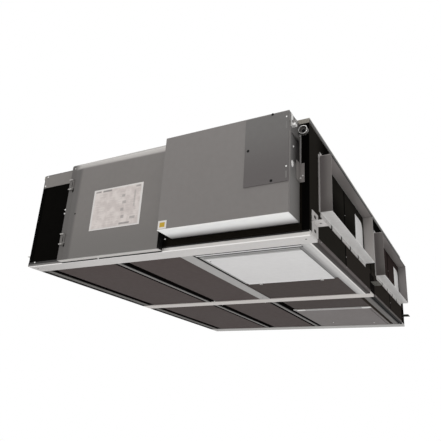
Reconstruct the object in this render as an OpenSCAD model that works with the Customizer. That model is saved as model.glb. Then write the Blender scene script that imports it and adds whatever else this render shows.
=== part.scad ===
// Flat ceiling air handling unit. Millimetres, +Z up.
// The origin is the centre of the casing's footprint, on the underside of the base rails.
// +X points to the end that shows its duct collars, -Y to the side with the control box.

/* [Casing] */
// Length of the casing along X
casing_l = 1500; // [1400:10:1700]
// Depth of the casing along Y
casing_w = 2030; // [1960:10:2200]
// Height of the casing from the rails to the top of the roof
casing_h = 512; // [490:2:560]
// Thickness of the insulated wall panels
wall_t = 30; // [20:1:45]
// Thickness of the roof panel
roof_t = 22; // [15:1:30]
// Overhang of the roof past both ends
roof_lip = 3; // [1:0.5:8]
// Size of the bevel along the vertical joints of the wall panels
joint_bevel = 2; // [1:0.5:4]

/* [Base frame] */
// Height of the base rails
rail_h = 22; // [18:1:26]
// Sheet thickness of the base rails
rail_t = 3; // [2:0.5:4]
// Width of the front and back rails
side_rail_w = 95; // [80:1:110]
// Width of the middle rail
mid_rail_w = 82; // [60:1:100]
// Distance of the middle rail's centre line behind the middle of the casing
mid_rail_y = 16; // [0:1:40]
// Width of the angle rails along both ends
end_rail_w = 12; // [8:1:20]

/* [Floor] */
// Height of the floor panels' underside above the rails' underside
floor_recess = 4; // [2:0.5:8]
// Height of the joint strips' underside above the rails' underside
strip_recess = 2; // [1:0.5:4]
// Height of the seals' underside above the rails' underside
seal_recess = 5; // [4.5:0.5:10]
// Width of the strips between floor panels
strip_w = 26; // [20:1:45]
// Width of the strips beside the end rails
edge_strip_w = 36; // [25:1:45]
// Width of the seal on the narrow side of a strip
seal_narrow = 22; // [4:1:30]
// Width of the seal on the wide side of a strip
seal_wide = 39; // [15:1:45]
// Width of the seal between an end rail and the strip beside it
seal_edge = 8; // [4:1:15]
// Width of the seal left of the back hatch
hatch_seal = 14; // [4:1:20]
// Place of the first floor joint along X
joint_1_x = -239; // [-260:1:-200]
// Place of the second floor joint along X, in the back row
joint_2_x = 153; // [140:1:190]
// Place along X of the inner side of the hatch's left bar
hatch_x = 174; // [160:1:200]
// Width of the bar left of the front hatch
hatch_bar_w = 62; // [50:1:70]
// Width of the bar right of the front hatch
hatch_end_bar_w = 58; // [45:1:70]

/* [Hatches] */
// Length of the front hatch along Y
front_hatch_len = 545; // [450:5:600]
// Length of the back hatch along Y
back_hatch_len = 602; // [500:5:650]
// Clearance round a hatch's loose sides
hatch_gap = 5; // [2:0.5:8]
// Width of a hatch's rim on its two sides
hatch_rim = 18; // [10:1:30]
// Width of a hatch's rim along its hinge side
hatch_front_rim = 58; // [40:1:70]
// Height of a hatch's raised pan over its rim
pan_h = 4; // [2:0.5:6]
// Width of the hinge strip along the front hatch's front edge
hinge_strip_w = 26; // [15:1:30]
// Height of the hinge strip over the rim
hinge_strip_h = 3; // [1:0.5:4]
// Width of the groove behind the hinge strip
hinge_groove_w = 6; // [2:0.5:8]
// Depth of the groove behind the hinge strip
hinge_groove_d = 10; // [4:1:12]
// Distance of a turning clip from the front hatch's side
clip_inset = 88; // [60:1:140]
// Radius of a turning clip's head
clip_r = 8; // [6:0.5:12]
// How far a clip's tongue reaches over the hatch
clip_reach = 12; // [8:1:20]
// Height of a clip's lower side above the underside of the rails
clip_z = 0.5; // [0.2:0.1:1]

/* [Duct collars] */
// Size of a duct collar along Y
collar_w = 762; // [700:2:780]
// Height of a duct collar
collar_h = 262; // [220:2:280]
// Height of the collars' lower side above the underside of the rails
collar_z = 139; // [125:1:160]
// How far a collar stands out of the end wall
collar_d = 52; // [40:1:80]
// Sheet thickness of the collars
collar_t = 2.5; // [2:0.5:4]
// Width of the flange that fixes a collar to the wall
collar_flange = 18; // [10:1:20]
// Number of notches along a collar's lower and upper flange
flange_notches = 4; // [2:1:6]
// Width of a notch in a collar's flange
notch_w = 14; // [5:1:20]
// Distance of the point between the two collars behind the middle of the casing
collar_mid_y = 9; // [0:1:20]
// Distance from that point to the centre of a collar
collar_pitch = 512; // [500:1:530]

/* [Air openings] */
// Width of an air opening in the end wall
air_w = 161; // [120:1:164]
// Radius of an air opening's round corner
air_r = 44; // [20:1:80]
// Distance from a collar's centre to the straight side of its air opening
air_offset = 206; // [190:1:210]
// Height of an air opening's lower side above the collar's lower side
air_sill = 22; // [15:1:40]
// Distance of an air opening's top below the collar's top
air_head = 40; // [35:1:70]
// Depth of a filter cassette behind the wall
filter_d = 40; // [30:1:60]
// Distance of the filter medium's face behind the wall's outer face
filter_recess = 2; // [1:0.5:10]
// Width of a filter cassette's rim round the opening
filter_rim = 20; // [12:1:25]

/* [Suspension brackets] */
// Width of a corner bracket's wall plate and tab
bracket_w = 72; // [60:1:90]
// Width of the middle bracket's wall plate and tab
mid_bracket_w = 90; // [70:1:110]
// Distance of the middle bracket's centre behind the middle of the casing
mid_bracket_y = 24; // [10:1:40]
// Height of a bracket's wall plate
bracket_h = 98; // [90:1:110]
// Sheet thickness of a bracket
bracket_t = 3; // [2:0.5:5]
// How far a bracket's tab stands out
tab_d = 44; // [40:1:75]
// Height of the tab above the underside of the rails
tab_z = 64; // [55:1:70]
// Diameter of the hanging rod's hole in the tab
rod_hole_d = 13; // [9:0.5:14]
// Distance from the end wall to the hanging rod's hole
rod_hole_x = 24; // [20:1:30]
// Height of the two fixing slots in the wall plate
plate_hole_d = 14; // [8:0.5:16]
// Distance between the round ends of such a slot
plate_slot_l = 15; // [4:1:24]
// Distance of a fixing slot above or below the tab
plate_hole_z = 29; // [25:1:36]
// Distance of the corner brackets' centre from the casing's front or back
bracket_inset = 60; // [45:1:80]

/* [Front equipment] */
// Place of the service cover's left edge along X
tray_x = -516; // [-560:1:-490]
// Length of the service cover along X
tray_l = 594; // [560:1:620]
// How far the service cover stands out of the wall, also the radius of its top bend
tray_d = 40; // [30:1:50]
// How far the service cover's top bend rises above the roof
tray_rise = 17; // [5:1:25]
// Height of the service cover's lower side above the underside of the rails
tray_z = 4; // [2:0.5:15]
// Width of the flat strip along the service cover's left edge
tray_edge = 34; // [32:1:45]
// How far that strip lies behind the service cover's face
tray_step = 6; // [3:0.5:12]
// Width of the slope between that strip and the service cover's face
tray_slope = 40; // [25:1:70]
// Thickness of the plate over the black front panel
flange_t = 3; // [2:0.5:4]
// Width of a hinge plate on the service cover's flat strip
hinge_w = 28; // [20:1:32]
// Height of a hinge plate
hinge_h = 57; // [45:1:80]
// Thickness of a hinge plate
hinge_t = 3; // [2:0.5:5]
// Width of the slot in a hinge plate
hinge_slot_w = 5; // [3:0.5:8]
// Height of the hinge plates' hooks
hook_h = 5; // [3:0.5:8]
// How far a hook stands out of its hinge plate
hook_d = 6; // [4:0.5:10]
// Height of the lower hinge's centre
hinge_low_z = 111; // [90:1:150]
// Height of the upper hinge's centre
hinge_high_z = 405; // [380:1:430]
// Height of the plate over the black front panel
top_plate_h = 74; // [45:1:90]
// Distance of that plate from the casing's left end
top_plate_inset = 9; // [5:1:25]
// Place of the control box's left side along X
box_x = 127; // [110:1:140]
// Length of the control box along X
box_l = 583; // [540:1:590]
// Height of the control box
box_h = 438; // [400:2:440]
// Distance of the control box below the roof
box_drop = 0; // [0:1:20]
// Depth of the control box, from the wall to its front
box_d = 118; // [100:1:140]
// Depth of the control box's front cover
front_cover_d = 18; // [12:1:25]
// Sheet thickness of the control box's white base
box_base_t = 4; // [2:0.5:6]
// Width of the small cover on the control box
cover_w = 188; // [150:1:200]
// Height of the small cover on the control box
cover_h = 304; // [250:2:320]
// Thickness of the small cover
cover_t = 3; // [2:0.5:5]
// Distance of the small cover below the control box's top
cover_drop = 6; // [4:1:10]
// Depth of the hollow in the control box's right side
pocket_d = 6; // [3:1:12]
// Height of that hollow
pocket_h = 115; // [80:1:140]
// Distance of that hollow above the control box's bottom
pocket_z = 238; // [200:1:260]
// Distance of that hollow from the box's front cover and from the wall
pocket_inset = 9; // [5:1:20]
// Depth of the ledge on the wall below the control box
ledge_d = 10; // [6:1:16]
// Gap between the ledge and the rail or the box
ledge_gap = 3; // [1:0.5:6]

/* [Box brackets] */
// Thickness of the brackets beside the control box
strap_t = 3; // [2:0.5:5]
// Width of the upright strap
strap_w = 7; // [5:0.5:12]
// Distance of the lower plate above the control box's bottom
foot_z = 171; // [120:1:190]
// Height of the lower plate
foot_h = 83; // [60:1:100]
// Width of the lower plate on the wall
foot_w = 21; // [15:1:35]
// How far the lower plate laps over the side of the box
foot_d = 41; // [25:1:60]
// Outer radius of the eye at the top of the strap
eye_r = 19.5; // [14:0.5:20]
// Radius of the eye's hollow
eye_bore_r = 16.5; // [8:0.5:17]
// Depth of the eye
eye_d = 18; // [6:0.5:30]
// Height of the eye's centre above the control box's bottom
eye_z = 400; // [385:1:415]
// Height of the clip on the side of the box
side_clip_h = 50; // [30:1:60]
// Width of that clip
side_clip_w = 15; // [6:0.5:16]
// How far that clip's foot stands out of the box's side
side_clip_arm = 22; // [10:1:30]
// Distance of that clip's lower end above the control box's bottom
side_clip_z = 384; // [370:1:388]

/* [Hidden] */
$fn = 48;
half_l = casing_l / 2;
half_w = casing_w / 2;
wall_top = casing_h - roof_t;
wall_h = wall_top - rail_h;
floor_h = rail_h;
over = 1;
front_bay = [-half_w + side_rail_w, mid_rail_y - mid_rail_w / 2];
back_bay = [mid_rail_y + mid_rail_w / 2, half_w - side_rail_w];
bay_x0 = -half_l + end_rail_w;
bay_x1 = half_l - end_rail_w;
edge_panel_x = bay_x0 + seal_edge + edge_strip_w + seal_wide;
joint_1_from = joint_1_x - strip_w / 2 - seal_narrow;
joint_1_to = joint_1_x + strip_w / 2 + seal_wide;
joint_2_from = joint_2_x - strip_w / 2 - seal_narrow;
joint_2_to = joint_2_x + strip_w / 2 + seal_wide;
hatch_bar_x = hatch_x - hatch_bar_w;
hatch_x1 = bay_x1 - hatch_end_bar_w;
back_strip_x = bay_x1 - seal_edge - edge_strip_w;
back_panel_x1 = back_strip_x - seal_narrow;
front_hatch_y1 = front_bay[0] + hatch_gap + front_hatch_len;
back_hatch_x = joint_2_x + strip_w / 2 + hatch_seal;
back_hatch_y0 = back_bay[1] - back_hatch_len;
collar_y = [for (side = [-1, 1]) collar_mid_y + side * collar_pitch];
wall_joints = [-half_w, collar_y[0], mid_rail_y, collar_y[1], half_w];
air_z = collar_z + air_sill;
air_h = collar_h - air_sill - air_head;
box_z = wall_top - box_drop - box_h;
box_x1 = box_x + box_l;
cover_x = tray_x + tray_edge;
cover_x1 = tray_x + tray_l;
bend_z = casing_h + tray_rise - tray_d;
tray_side = tray_d - tray_step;
back_joints = [-half_l + wall_t, joint_1_x, joint_2_x, half_l - wall_t];

steel = [0.78, 0.77, 0.75];
dark_sheet = [0.32, 0.30, 0.29];
grey_sheet = [0.47, 0.45, 0.43];
black_sheet = [0.07, 0.07, 0.07];

// A box given by its lowest and highest corners
module block(low, high) {
  translate(low) cube(high - low);
}

// A pattern for the end that it is drawn at and, turned over, for the other end
module at_end(end) {
  mirror([end == "left" ? 1 : 0, 0, 0]) children();
}

module roof_panel() {
  color(steel)
  block([-half_l - roof_lip, -half_w, wall_top], [half_l + roof_lip, half_w, casing_h]);
}

// A folded channel along X, closed at its ends and open at the top
module rail(from_y, to_y) {
  color(steel)
  difference() {
    block([-half_l, from_y, 0], [half_l, to_y, rail_h]);
    block([-half_l + rail_t, from_y + rail_t, rail_t], [half_l - rail_t, to_y - rail_t, rail_h + over]);
  }
}

module front_rail() {
  rail(-half_w, front_bay[0]);
}

module middle_rail() {
  rail(front_bay[1], back_bay[0]);
}

module back_rail() {
  rail(back_bay[1], half_w);
}

// Angles that close the floor along both ends, between the rails
module end_rails() {
  color(dark_sheet)
  for (end = ["right", "left"], bay = [front_bay, back_bay])
    at_end(end)
    difference() {
      block([bay_x1, bay[0], 0], [half_l, bay[1], rail_h]);
      block([bay_x1 - over, bay[0] - over, rail_t], [half_l - rail_t, bay[1] + over, rail_h + over]);
    }
}

module floor_panel(from_x, to_x, from_y, to_y) {
  color(dark_sheet)
  block([from_x, from_y, floor_recess], [to_x, to_y, floor_h]);
}

module front_left_floor() {
  floor_panel(edge_panel_x, joint_1_from, front_bay[0], front_bay[1]);
}

module front_middle_floor() {
  floor_panel(joint_1_to, hatch_bar_x, front_bay[0], front_bay[1]);
}

module front_narrow_floor() {
  floor_panel(hatch_x, hatch_x1, front_hatch_y1, front_bay[1]);
}

module back_left_floor() {
  floor_panel(edge_panel_x, joint_1_from, back_bay[0], back_bay[1]);
}

module back_middle_floor() {
  floor_panel(joint_1_to, joint_2_from, back_bay[0], back_bay[1]);
}

module back_narrow_floor() {
  floor_panel(joint_2_to, back_panel_x1, back_bay[0], back_hatch_y0);
}

// Cover strips over the joints between the floor panels
module joint_strips() {
  color(grey_sheet) {
    for (bay = [front_bay, back_bay]) {
      strip(bay_x0 + seal_edge, edge_strip_w, bay);
      strip(joint_1_x - strip_w / 2, strip_w, bay);
    }
    strip(joint_2_x - strip_w / 2, strip_w, back_bay);
    strip(back_strip_x, edge_strip_w, back_bay);
  }
}

module strip(left, width, bay) {
  block([left, bay[0], strip_recess], [left + width, bay[1], floor_h]);
}

// Black seals in the grooves on both sides of the strips
module joint_seals() {
  color(black_sheet) {
    for (bay = [front_bay, back_bay]) {
      seal(bay_x0, seal_edge, bay);
      seal(edge_panel_x - seal_wide, seal_wide, bay);
      seal(joint_1_from, seal_narrow, bay);
      seal(joint_1_to - seal_wide, seal_wide, bay);
    }
    seal(joint_2_from, seal_narrow, back_bay);
    seal(joint_2_to - seal_wide, seal_wide, [back_bay[0], back_hatch_y0]);
    seal(back_hatch_x - hatch_seal, hatch_seal, [back_hatch_y0, back_bay[1]]);
    seal(back_panel_x1, seal_narrow, back_bay);
    seal(bay_x1 - seal_edge, seal_edge, back_bay);
  }
}

module seal(left, width, bay) {
  block([left, bay[0], seal_recess], [left + width, bay[1], floor_h]);
}

// Bright bars beside the front hatch
module hatch_bars() {
  color(steel)
  for (side = [[hatch_bar_x, hatch_x], [hatch_x1, bay_x1]])
    block([side[0], front_bay[0], 0], [side[1], front_bay[1], floor_h]);
}

// A hatch with a raised pan inside its rim
module hatch(from, to, front_rim) {
  rim_z = floor_recess + pan_h / 2;
  block([from[0], from[1], rim_z], [to[0], to[1], floor_h]);
  block([from[0] + hatch_rim, from[1] + front_rim, rim_z - pan_h], [to[0] - hatch_rim, to[1], rim_z]);
}

// The front hatch with a hinge strip and a groove behind it
module front_hatch() {
  left = hatch_x + hatch_gap;
  right = hatch_x1 - hatch_gap;
  front = front_bay[0] + hatch_gap;
  strip_y = front + hinge_strip_w;
  rim_z = floor_recess + pan_h / 2;
  color(steel)
  difference() {
    union() {
      hatch([left, front], [right, front_hatch_y1], hatch_front_rim);
      block([left, front, rim_z - hinge_strip_h], [right, strip_y, rim_z + over]);
    }
    block([left - over, strip_y, rim_z - over],
          [right + over, strip_y + hinge_groove_w, rim_z + hinge_groove_d]);
  }
}

module back_hatch() {
  color(grey_sheet)
  hatch([back_hatch_x, back_hatch_y0], [back_panel_x1, back_bay[1]], hatch_rim);
}

// Turning clips beside the front hatch, with a tongue over its pan
module hatch_clips() {
  pan_z = floor_recess - pan_h / 2;
  color(steel)
  for (x = [hatch_x + clip_inset, hatch_x1 - clip_inset]) {
    translate([x, front_hatch_y1 + clip_r, clip_z])
    cylinder(h = floor_recess - clip_z, r = clip_r);
    block([x - clip_r / 2, front_hatch_y1 - clip_reach, clip_z],
          [x + clip_r / 2, front_hatch_y1 + clip_r, pan_z]);
  }
}

// The front wall with a ledge below the control box
module front_wall() {
  color(black_sheet) {
    block([-half_l + wall_t, -half_w, rail_h], [half_l - wall_t, -half_w + wall_t, wall_top]);
    block([box_x, -half_w - ledge_d, rail_h + ledge_gap],
          [half_l - wall_t, -half_w + over, box_z - ledge_gap]);
  }
}

// An upright panel along +Y whose outer joint edges are bevelled. Its outer face is at X = 0.
module bevelled_panel(length) {
  b = joint_bevel;
  linear_extrude(wall_h)
  polygon([[-wall_t, 0], [-b, 0], [0, b], [0, length - b], [-b, length], [-wall_t, length]]);
}

module back_wall(i) {
  color(black_sheet)
  translate([back_joints[i + 1], half_w, rail_h])
  rotate([0, 0, 90])
  bevelled_panel(back_joints[i + 1] - back_joints[i]);
}

module back_wall_left() {
  back_wall(0);
}

module back_wall_middle() {
  back_wall(1);
}

module back_wall_right() {
  back_wall(2);
}

// Outline of an air opening, with its straight side at X = 0 and one large round corner
module air_outline() {
  square([air_w - air_r, air_h]);
  square([air_w, air_h - air_r]);
  translate([air_w - air_r, air_h - air_r])
  intersection() {
    circle(air_r, $fn = 96);
    square(air_r + over);
  }
}

// A block with an air opening's outline, beside the wall joint or collar centre at y
module air_block(y, from_x, to_x) {
  translate([from_x, y + air_offset, air_z])
  rotate([90, 0, 90])
  linear_extrude(to_x - from_x)
  air_outline();
}

// One of the four panels of an end wall, counted from the front
module end_wall(end, i) {
  color(black_sheet)
  at_end(end)
  difference() {
    translate([half_l, wall_joints[i], rail_h])
    bevelled_panel(wall_joints[i + 1] - wall_joints[i]);
    if (i % 2 == 1)
      air_block(wall_joints[i], half_l - wall_t - over, half_l + over);
  }
}

module right_wall_1() {
  end_wall("right", 0);
}

module right_wall_2() {
  end_wall("right", 1);
}

module right_wall_3() {
  end_wall("right", 2);
}

module right_wall_4() {
  end_wall("right", 3);
}

module left_wall_1() {
  end_wall("left", 0);
}

module left_wall_2() {
  end_wall("left", 1);
}

module left_wall_3() {
  end_wall("left", 2);
}

module left_wall_4() {
  end_wall("left", 3);
}

// A rectangular sheet collar whose four sides are folded out against the wall.
// The lower and upper flanges are cut into tabs, and the corners between flanges stay open.
module collar(end, y) {
  low = [half_l, y - collar_w / 2, collar_z];
  high = [half_l + collar_d, y + collar_w / 2, collar_z + collar_h];
  back = [half_l + collar_t, high[1], high[2]];
  skin = [0, collar_t, collar_t];
  pitch = collar_w / (flange_notches + 1);
  color(steel)
  at_end(end)
  difference() {
    union() {
      block(low, high);
      for (edge = [[0, collar_flange, 0], [0, 0, collar_flange]])
        block(low - edge, back + edge);
    }
    block(low + skin - [over, 0, 0], high - skin + [over, 0, 0]);
    for (k = [1 : flange_notches], z = [low[2] - collar_flange - over, high[2]])
      translate([half_l - over, low[1] + k * pitch - notch_w / 2, z])
      cube([collar_t + 2 * over, notch_w, collar_flange + over]);
  }
}

module right_front_collar() {
  collar("right", collar_y[0]);
}

module right_back_collar() {
  collar("right", collar_y[1]);
}

module left_front_collar() {
  collar("left", collar_y[0]);
}

module left_back_collar() {
  collar("left", collar_y[1]);
}

// White filter cassettes of one end, whose medium fills the air openings
module filters(end) {
  inner_x = half_l - wall_t;
  color("white")
  at_end(end)
  for (y = collar_y) {
    block([inner_x - filter_d, y + air_offset - filter_rim, air_z - filter_rim],
          [inner_x, y + air_offset + air_w + filter_rim, air_z + air_h + filter_rim]);
    air_block(y, inner_x - over, half_l - filter_recess);
  }
}

module right_filters() {
  filters("right");
}

module left_filters() {
  filters("left");
}

// A wall plate with two fixing slots and a tab for a hanging rod
module bracket(y, width) {
  plate_z = tab_z - bracket_h / 2;
  difference() {
    union() {
      block([half_l, y - width / 2, plate_z], [half_l + bracket_t, y + width / 2, plate_z + bracket_h]);
      block([half_l, y - width / 2, tab_z], [half_l + tab_d, y + width / 2, tab_z + bracket_t]);
    }
    translate([half_l + rod_hole_x, y, tab_z - over])
    cylinder(h = bracket_t + 2 * over, d = rod_hole_d);
    for (side = [-1, 1])
      hull()
      for (end = [-1, 1])
        translate([half_l - over, y + end * plate_slot_l / 2, tab_z + side * plate_hole_z])
        rotate([0, 90, 0])
        cylinder(h = bracket_t + 2 * over, d = plate_hole_d);
  }
}

module brackets(end) {
  color(steel)
  at_end(end) {
    bracket(-half_w + bracket_inset, bracket_w);
    bracket(mid_bracket_y, mid_bracket_w);
    bracket(half_w - bracket_inset, bracket_w);
  }
}

module right_brackets() {
  brackets("right");
}

module left_brackets() {
  brackets("left");
}

// Grey plate over the black panel at the left of the front
module front_top_plate() {
  color(grey_sheet)
  block([-half_l + top_plate_inset, -half_w - flange_t, casing_h - top_plate_h], [tray_x, -half_w, casing_h]);
}

// Cross-section of the service cover, a flat face that bends back over the roof's edge
module cover_profile() {
  translate([-half_w, 0])
  intersection() {
    union() {
      translate([-tray_d, tray_z]) square([tray_d, bend_z - tray_z]);
      translate([0, bend_z]) circle(tray_d, $fn = 96);
    }
    translate([-tray_d, tray_z]) square([tray_d, bend_z + tray_d - tray_z]);
  }
}

// Pressed cover with a round top bend, a shallower strip along its left edge and a slope beside the strip
module service_cover() {
  beyond = tray_step / 2;
  color(grey_sheet)
  difference() {
    translate([tray_x, 0, 0])
    rotate([90, 0, 90])
    linear_extrude(tray_l)
    cover_profile();
    linear_extrude(bend_z + tray_d + over)
    translate([0, -half_w])
    polygon([
      [tray_x - over, -tray_side],
      [cover_x, -tray_side],
      [cover_x + tray_slope * 3 / 2, -tray_d - beyond],
      [tray_x - over, -tray_d - beyond],
    ]);
  }
}

// Slotted plates with two hooks each, on the service cover's flat strip
module cover_hinges() {
  front = -half_w - tray_side;
  color(steel)
  for (z = [hinge_low_z, hinge_high_z])
    difference() {
      union() {
        block([tray_x, front - hinge_t, z - hinge_h / 2], [tray_x + hinge_w, front, z + hinge_h / 2]);
        for (hook_z = [z - hinge_h / 2, z + hinge_h / 2 - hook_h])
          block([tray_x, front - hinge_t - hook_d, hook_z], [tray_x + hinge_w * 3 / 4, front, hook_z + hook_h]);
      }
      block([tray_x + hinge_w / 2 + hinge_slot_w / 2, front - hinge_t - over, z - hinge_h / 4],
            [tray_x + hinge_w / 2 + hinge_slot_w * 3 / 2, front + over, z + hinge_h / 4]);
    }
}

// Body of the control box, with a shallow hollow in its right side
module control_box() {
  front = -half_w - box_d + front_cover_d;
  color(steel)
  difference() {
    block([box_x, front, box_z + box_base_t], [box_x1, -half_w, box_z + box_h]);
    block([box_x1 - pocket_d, front + pocket_inset, box_z + pocket_z],
          [box_x1 + over, -half_w - pocket_inset, box_z + pocket_z + pocket_h]);
  }
}

// Strap with an eye and a lapped foot beside the control box, and an angled clip on the box
module box_brackets() {
  wall_y = -half_w - strap_t;
  foot_top = foot_z + foot_h;
  clip_y = -half_w - box_d + front_cover_d;
  color(steel)
  translate([box_x1, 0, box_z]) {
    block([0, -half_w - foot_d, foot_z], [strap_t, -half_w, foot_top]);
    block([0, wall_y, foot_z], [foot_w, -half_w, foot_top]);
    block([0, wall_y, foot_z], [strap_w, -half_w, eye_z - eye_r / 2]);
    translate([eye_r, -half_w, eye_z])
    rotate([90, 0, 0])
    difference() {
      cylinder(h = eye_d, r = eye_r);
      translate([0, 0, strap_t]) cylinder(h = eye_d, r = eye_bore_r);
    }
    block([0, clip_y, side_clip_z], [strap_t, clip_y + side_clip_w, side_clip_z + side_clip_h]);
    block([0, clip_y, side_clip_z], [side_clip_arm, clip_y + side_clip_w, side_clip_z + side_clip_w]);
  }
}

module control_box_base() {
  color("white")
  block([box_x, -half_w - box_d + front_cover_d, box_z], [box_x1, -half_w, box_z + box_base_t]);
}

module control_box_front() {
  color(grey_sheet)
  block([box_x, -half_w - box_d, box_z], [box_x1, -half_w - box_d + front_cover_d, box_z + box_h]);
}

module control_box_cover() {
  top = box_z + box_h - cover_drop;
  front = -half_w - box_d;
  color(grey_sheet)
  block([box_x1 - cover_w, front - cover_t, top - cover_h], [box_x1, front, top]);
}

roof_panel();
front_rail();
middle_rail();
back_rail();
end_rails();
front_left_floor();
front_middle_floor();
front_narrow_floor();
back_left_floor();
back_middle_floor();
back_narrow_floor();
joint_strips();
joint_seals();
hatch_bars();
front_hatch();
back_hatch();
front_wall();
back_wall_left();
back_wall_middle();
back_wall_right();
right_wall_1();
right_wall_2();
right_wall_3();
right_wall_4();
left_wall_1();
left_wall_2();
left_wall_3();
left_wall_4();
right_front_collar();
right_back_collar();
left_front_collar();
left_back_collar();
right_filters();
left_filters();
right_brackets();
left_brackets();
front_top_plate();
service_cover();
cover_hinges();
control_box();
control_box_base();
control_box_front();
control_box_cover();
box_brackets();
hatch_clips();
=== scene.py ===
# %% [markdown]
# # A flat ceiling air handling unit
# The unit hangs under a ceiling, so it is mostly seen from below: a black casing on bright rails, duct
# collars at both ends, a service cover and a control box along the front. The solids come from the packed
# model with the right size and place. This lesson gives them their finishes and adds the small fittings,
# such as screws, rivets, hinge leaves and a paper sheet, that are too fine for the solids.

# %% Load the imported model
import math

import bmesh
import bpy
from mathutils import Matrix, Vector


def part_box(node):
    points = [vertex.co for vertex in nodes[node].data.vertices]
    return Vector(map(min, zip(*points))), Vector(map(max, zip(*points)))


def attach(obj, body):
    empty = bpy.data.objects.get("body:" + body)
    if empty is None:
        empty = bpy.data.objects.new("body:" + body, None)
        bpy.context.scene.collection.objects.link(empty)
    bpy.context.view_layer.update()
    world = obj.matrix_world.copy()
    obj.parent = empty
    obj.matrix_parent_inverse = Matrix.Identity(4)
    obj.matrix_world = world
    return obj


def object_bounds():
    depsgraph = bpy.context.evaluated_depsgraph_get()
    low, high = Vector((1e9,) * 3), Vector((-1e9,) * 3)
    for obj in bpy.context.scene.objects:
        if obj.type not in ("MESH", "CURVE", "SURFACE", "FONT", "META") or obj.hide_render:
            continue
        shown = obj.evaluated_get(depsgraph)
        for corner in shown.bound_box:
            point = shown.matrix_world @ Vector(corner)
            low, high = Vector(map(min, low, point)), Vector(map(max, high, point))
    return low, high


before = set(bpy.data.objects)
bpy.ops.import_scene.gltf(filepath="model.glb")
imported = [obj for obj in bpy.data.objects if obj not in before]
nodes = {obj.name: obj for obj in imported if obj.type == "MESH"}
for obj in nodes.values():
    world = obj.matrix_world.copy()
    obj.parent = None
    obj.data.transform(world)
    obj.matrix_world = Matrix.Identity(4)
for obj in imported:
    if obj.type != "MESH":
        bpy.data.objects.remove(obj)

cad_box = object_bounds()
MM = 0.001
print("loaded", len(nodes), "solids, box", [round(v, 3) for v in cad_box[1] - cad_box[0]])

# %% [markdown]
# ## The camera
# A photo's viewpoint can be guessed by eye, or fitted to corners whose real places are known. The second way
# was used here: seven corners of the casing gave the place, the view direction and the lens. The camera
# stands low and close, a little to the right, and looks up at the underside.

# %% Place the camera
PHOTO_PX = 441
FOCAL_PX = 508.24
SENSOR_MM = 36.0
camera_place = Vector((1.3368, -2.7476, -0.6500))
look_along = Vector((-0.45809, 0.81421, 0.35667))
camera_up = Vector((0.12222, -0.33975, 0.93254))

camera = bpy.data.objects.new("camera", bpy.data.cameras.new("camera"))
camera.data.sensor_width = SENSOR_MM
camera.data.lens = FOCAL_PX / PHOTO_PX * SENSOR_MM
axes = Matrix((look_along.cross(camera_up), camera_up, -look_along)).transposed()
camera.matrix_world = Matrix.Translation(camera_place) @ axes.to_4x4()
bpy.context.scene.collection.objects.link(camera)
bpy.context.scene.camera = camera
bpy.context.scene.view_settings.view_transform = "Standard"
print("camera", [round(v, 2) for v in camera_place], "lens %.1f mm" % camera.data.lens)

# %% [markdown]
# ## Shader maths that reads like a formula
# A node tree can be wired by hand, link by link, but the sums get lost among the links. This small class
# wraps one output of a node. Adding, multiplying or subtracting two of them adds the Math node that does it,
# and its method `node` adds any other node.

# %% Wrap a socket
class Wire:
    """One output of a shader node, used like a number."""

    def __init__(self, socket):
        self.socket = socket

    def node(self, kind, settings=None, sockets=None, output=0):
        """Adds a node: its settings come first, then the values or links of its sockets."""
        made = self.socket.id_data.nodes.new(kind)
        for name, value in (settings or {}).items():
            setattr(made, name, value)
        for name, value in (sockets or {}).items():
            plug(made.inputs[name], value)
        return Wire(made.outputs[output])

    def math(self, operation, first, second=0.0):
        return self.node("ShaderNodeMath", {"operation": operation}, {0: first, 1: second})

    def __add__(self, other):
        return self.math("ADD", self, other)

    __radd__ = __add__

    def __sub__(self, other):
        return self.math("SUBTRACT", self, other)

    def __rsub__(self, other):
        return self.math("SUBTRACT", other, self)

    def __mul__(self, other):
        return self.math("MULTIPLY", self, other)

    __rmul__ = __mul__

    def axis(self, letter):
        """One coordinate of a vector."""
        return self.node("ShaderNodeSeparateXYZ", None, {"Vector": self}, letter)

    def size(self):
        """The value without its sign."""
        return self.math("ABSOLUTE", self)

    def above(self, limit, soft):
        """0 below the limit and 1 above it, with a smooth step as wide as soft."""
        step = {"Value": self, "From Min": limit - soft / 2, "From Max": limit + soft / 2}
        return self.node("ShaderNodeMapRange", {"interpolation_type": "SMOOTHSTEP"}, step)

    def below(self, limit, soft):
        return 1 - self.above(limit, soft)

    def between(self, start, end, soft):
        return self.above(start, soft) * self.below(end, soft)

    def tint(self, under, over):
        """The first colour, changed into the second one by this value."""
        mix = {0: self, 6: under, 7: over}
        return self.node("ShaderNodeMix", {"data_type": "RGBA"}, mix, 2)

    def noise(self, scale, detail=2.0, stretch=(1.0, 1.0, 1.0)):
        """Soft random spots, about 1/scale metres wide, drawn out along the axes with a small stretch."""
        place = self.node("ShaderNodeMapping", None, {"Vector": self, "Scale": stretch})
        return self.node("ShaderNodeTexNoise", None, {"Vector": place, "Scale": scale, "Detail": detail})

    def bump(self, height, depth):
        """A normal for a surface that is rough by that depth in metres."""
        return self.node("ShaderNodeBump", None, {"Height": height, "Strength": 1.0, "Distance": depth})


def plug(socket, value):
    """Gives a socket a link, a colour or a number."""
    if isinstance(value, Wire):
        socket.id_data.links.new(value.socket, socket)
    elif socket.type == "RGBA":
        socket.default_value = (*value, 1.0)
    else:
        socket.default_value = value


def new_finish(name):
    """A new material, its shader and its Object coordinates."""
    material = bpy.data.materials.new(name)
    material.use_nodes = True
    place = material.node_tree.nodes.new("ShaderNodeTexCoord")
    return material, material.node_tree.nodes["Principled BSDF"], Wire(place.outputs["Object"])


def dress(shader, **sockets):
    """Sets or links the shader's sockets, with _ for a blank in a socket's name."""
    for name, value in sockets.items():
        plug(shader.inputs[name.replace("_", " ")], value)


print("shader class ready")

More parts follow.
